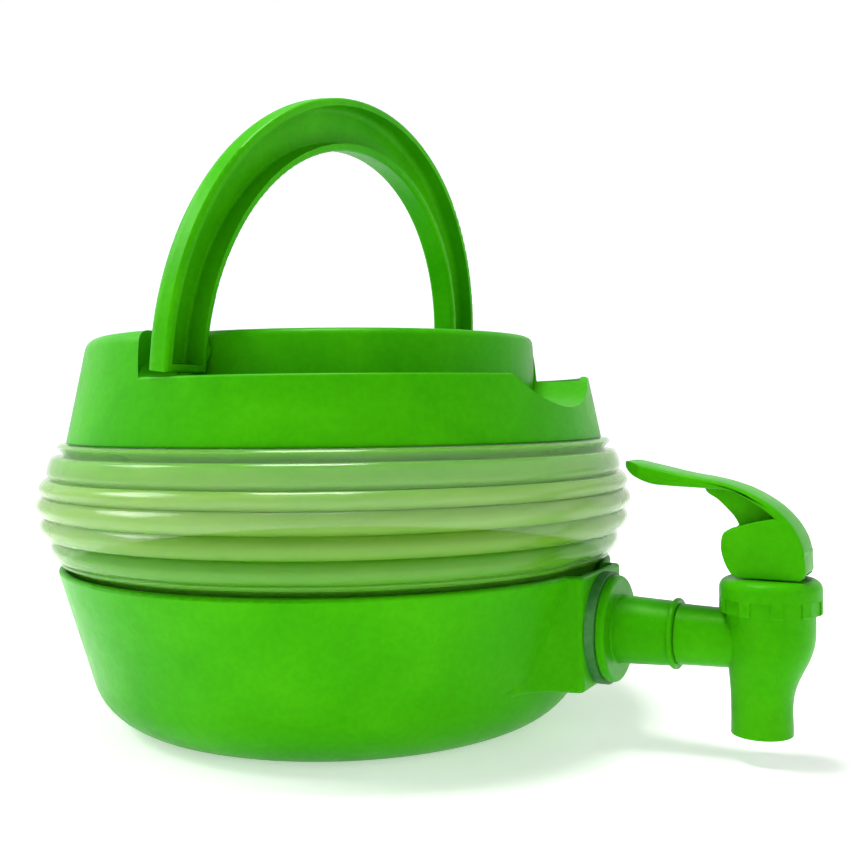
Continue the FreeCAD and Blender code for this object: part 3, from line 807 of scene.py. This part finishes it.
@dataclass
class Studio:
    """Pale cove, soft boxes and the camera."""

    cove_radius: float = 2.4
    cove_height: float = 2.0
    cove_glow: float = 0.41
    sky_glow: float = 0.06
    aim: tuple[float, float, float] = (0.02, 0.0, 0.09)     # what the lights point at
    camera_place: tuple[float, float, float] = (0.2231, -0.3478, 0.1077)
    yaw_deg: float = 28.05
    pitch_deg: float = -1.10
    roll_deg: float = -0.60
    lens: float = 47.3

    def cove(self) -> None:
        """Round floor whose rim curves up into a wall."""
        deselect()
        bpy.ops.mesh.primitive_circle_add(vertices=96, radius=self.cove_radius, fill_type="NGON")
        floor = bpy.context.object
        floor.name = "cove"
        bpy.ops.object.mode_set(mode="EDIT")
        bpy.ops.mesh.select_all(action="SELECT")
        bpy.ops.mesh.inset(thickness=0.3)
        bpy.ops.mesh.select_all(action="DESELECT")
        bpy.ops.object.mode_set(mode="OBJECT")
        for edge in floor.data.edges:
            ends = [floor.data.vertices[i].co.length for i in edge.vertices]
            edge.select = min(ends) > self.cove_radius - 0.01
        bpy.ops.object.mode_set(mode="EDIT")
        bpy.ops.mesh.select_mode(type="EDGE")
        for lift, spread in ((0.1, 1.12), (0.3, 1.06), (self.cove_height, 1.0)):
            bpy.ops.mesh.extrude_region_move(TRANSFORM_OT_translate={"value": (0, 0, lift)})
            bpy.ops.transform.resize(value=(spread, spread, 1), center_override=(0, 0, 0))
        bpy.ops.mesh.select_mode(type="VERT")
        bpy.ops.mesh.select_all(action="SELECT")
        bpy.ops.mesh.normals_make_consistent(inside=True)
        bpy.ops.object.mode_set(mode="OBJECT")
        paint, tree, place = blank_material("matt_white_cove_paint")
        mottling = add_node(tree, "ShaderNodeTexNoise", inputs={"Vector": place, "Scale": 2.0, "Detail": 2.0})
        colour = colour_ramp(tree, mottling.outputs["Fac"], [
            (0.3, linear("f4f4f4")), (0.7, linear("f8f8f8"))])
        coat = add_node(tree, "ShaderNodeBsdfPrincipled", inputs={
            "Base Color": colour, "Roughness": 0.9, "Emission Color": (1, 1, 1, 1),
            "Emission Strength": self.cove_glow})
        add_node(tree, "ShaderNodeOutputMaterial", inputs={"Surface": coat.outputs["BSDF"]})
        floor.data.materials.append(paint)
        smooth(floor, 80)

    def soft_box(self, name: str, place: Sequence[float], size: float, power: float) -> None:
        """One square area light aimed at the object.

        Args:
            name: Name of the light.
            place: Position in metres.
            size: Side of the light in metres.
            power: Power in watts.
        """
        deselect()
        bpy.ops.object.light_add(type="AREA", location=place)
        light = bpy.context.object
        light.name = name
        light.data.shape = "SQUARE"
        light.data.size = size
        light.data.energy = power
        light.rotation_euler = (Vector(self.aim) - Vector(place)).to_track_quat("-Z", "Y").to_euler()

    def sky(self) -> None:
        """Even white surround light."""
        world = bpy.data.worlds.new("white_surround")
        world.use_nodes = True
        tree = world.node_tree
        tree.nodes.clear()
        glow = add_node(tree, "ShaderNodeBackground", inputs={"Color": (1, 1, 1, 1), "Strength": self.sky_glow})
        add_node(tree, "ShaderNodeOutputWorld", inputs={"Surface": glow.outputs["Background"]})
        bpy.context.scene.world = world

    def camera(self) -> None:
        """Camera near the object, slightly above its lid, looking almost level."""
        yaw = math.radians(self.yaw_deg)
        pitch = math.radians(self.pitch_deg)
        ahead = Vector((-math.sin(yaw), math.cos(yaw), 0))
        look = ahead * math.cos(pitch) + Vector((0, 0, math.sin(pitch)))
        deselect()
        bpy.ops.object.camera_add(location=self.camera_place)
        camera = bpy.context.object
        camera.name = "camera"
        turn = look.to_track_quat("-Z", "Y").to_matrix() @ Matrix.Rotation(math.radians(self.roll_deg), 3, "Z")
        camera.rotation_euler = turn.to_euler()
        camera.data.lens = self.lens
        camera.data.sensor_width = 36.0
        camera.data.clip_start = 0.01
        bpy.context.scene.camera = camera

    def build(self) -> None:
        """Put up the cove, lights, surround and camera."""
        self.cove()
        self.sky()
        self.soft_box("key_box", (-0.7, -0.35, 0.75), 0.4, 5.4)
        self.soft_box("fill_box", (1.4, -1.0, 0.5), 0.4, 0.2)
        self.soft_box("top_box", (-0.1, -0.05, 1.1), 0.4, 13)
        self.camera()
        bpy.context.scene.view_settings.view_transform = "Standard"


def main() -> None:
    """Build the studio and every sub-assembly."""
    wardrobe = Wardrobe()
    Studio().build()
    for assembly in (Bottle(), Lever(), ValveSpring(), CarriedOver()):
        for piece in assembly.build(wardrobe):
            log.info("%s: %s, %d faces", type(assembly).__name__, piece.name, len(piece.data.polygons))


if __name__ == "__main__":
    main()
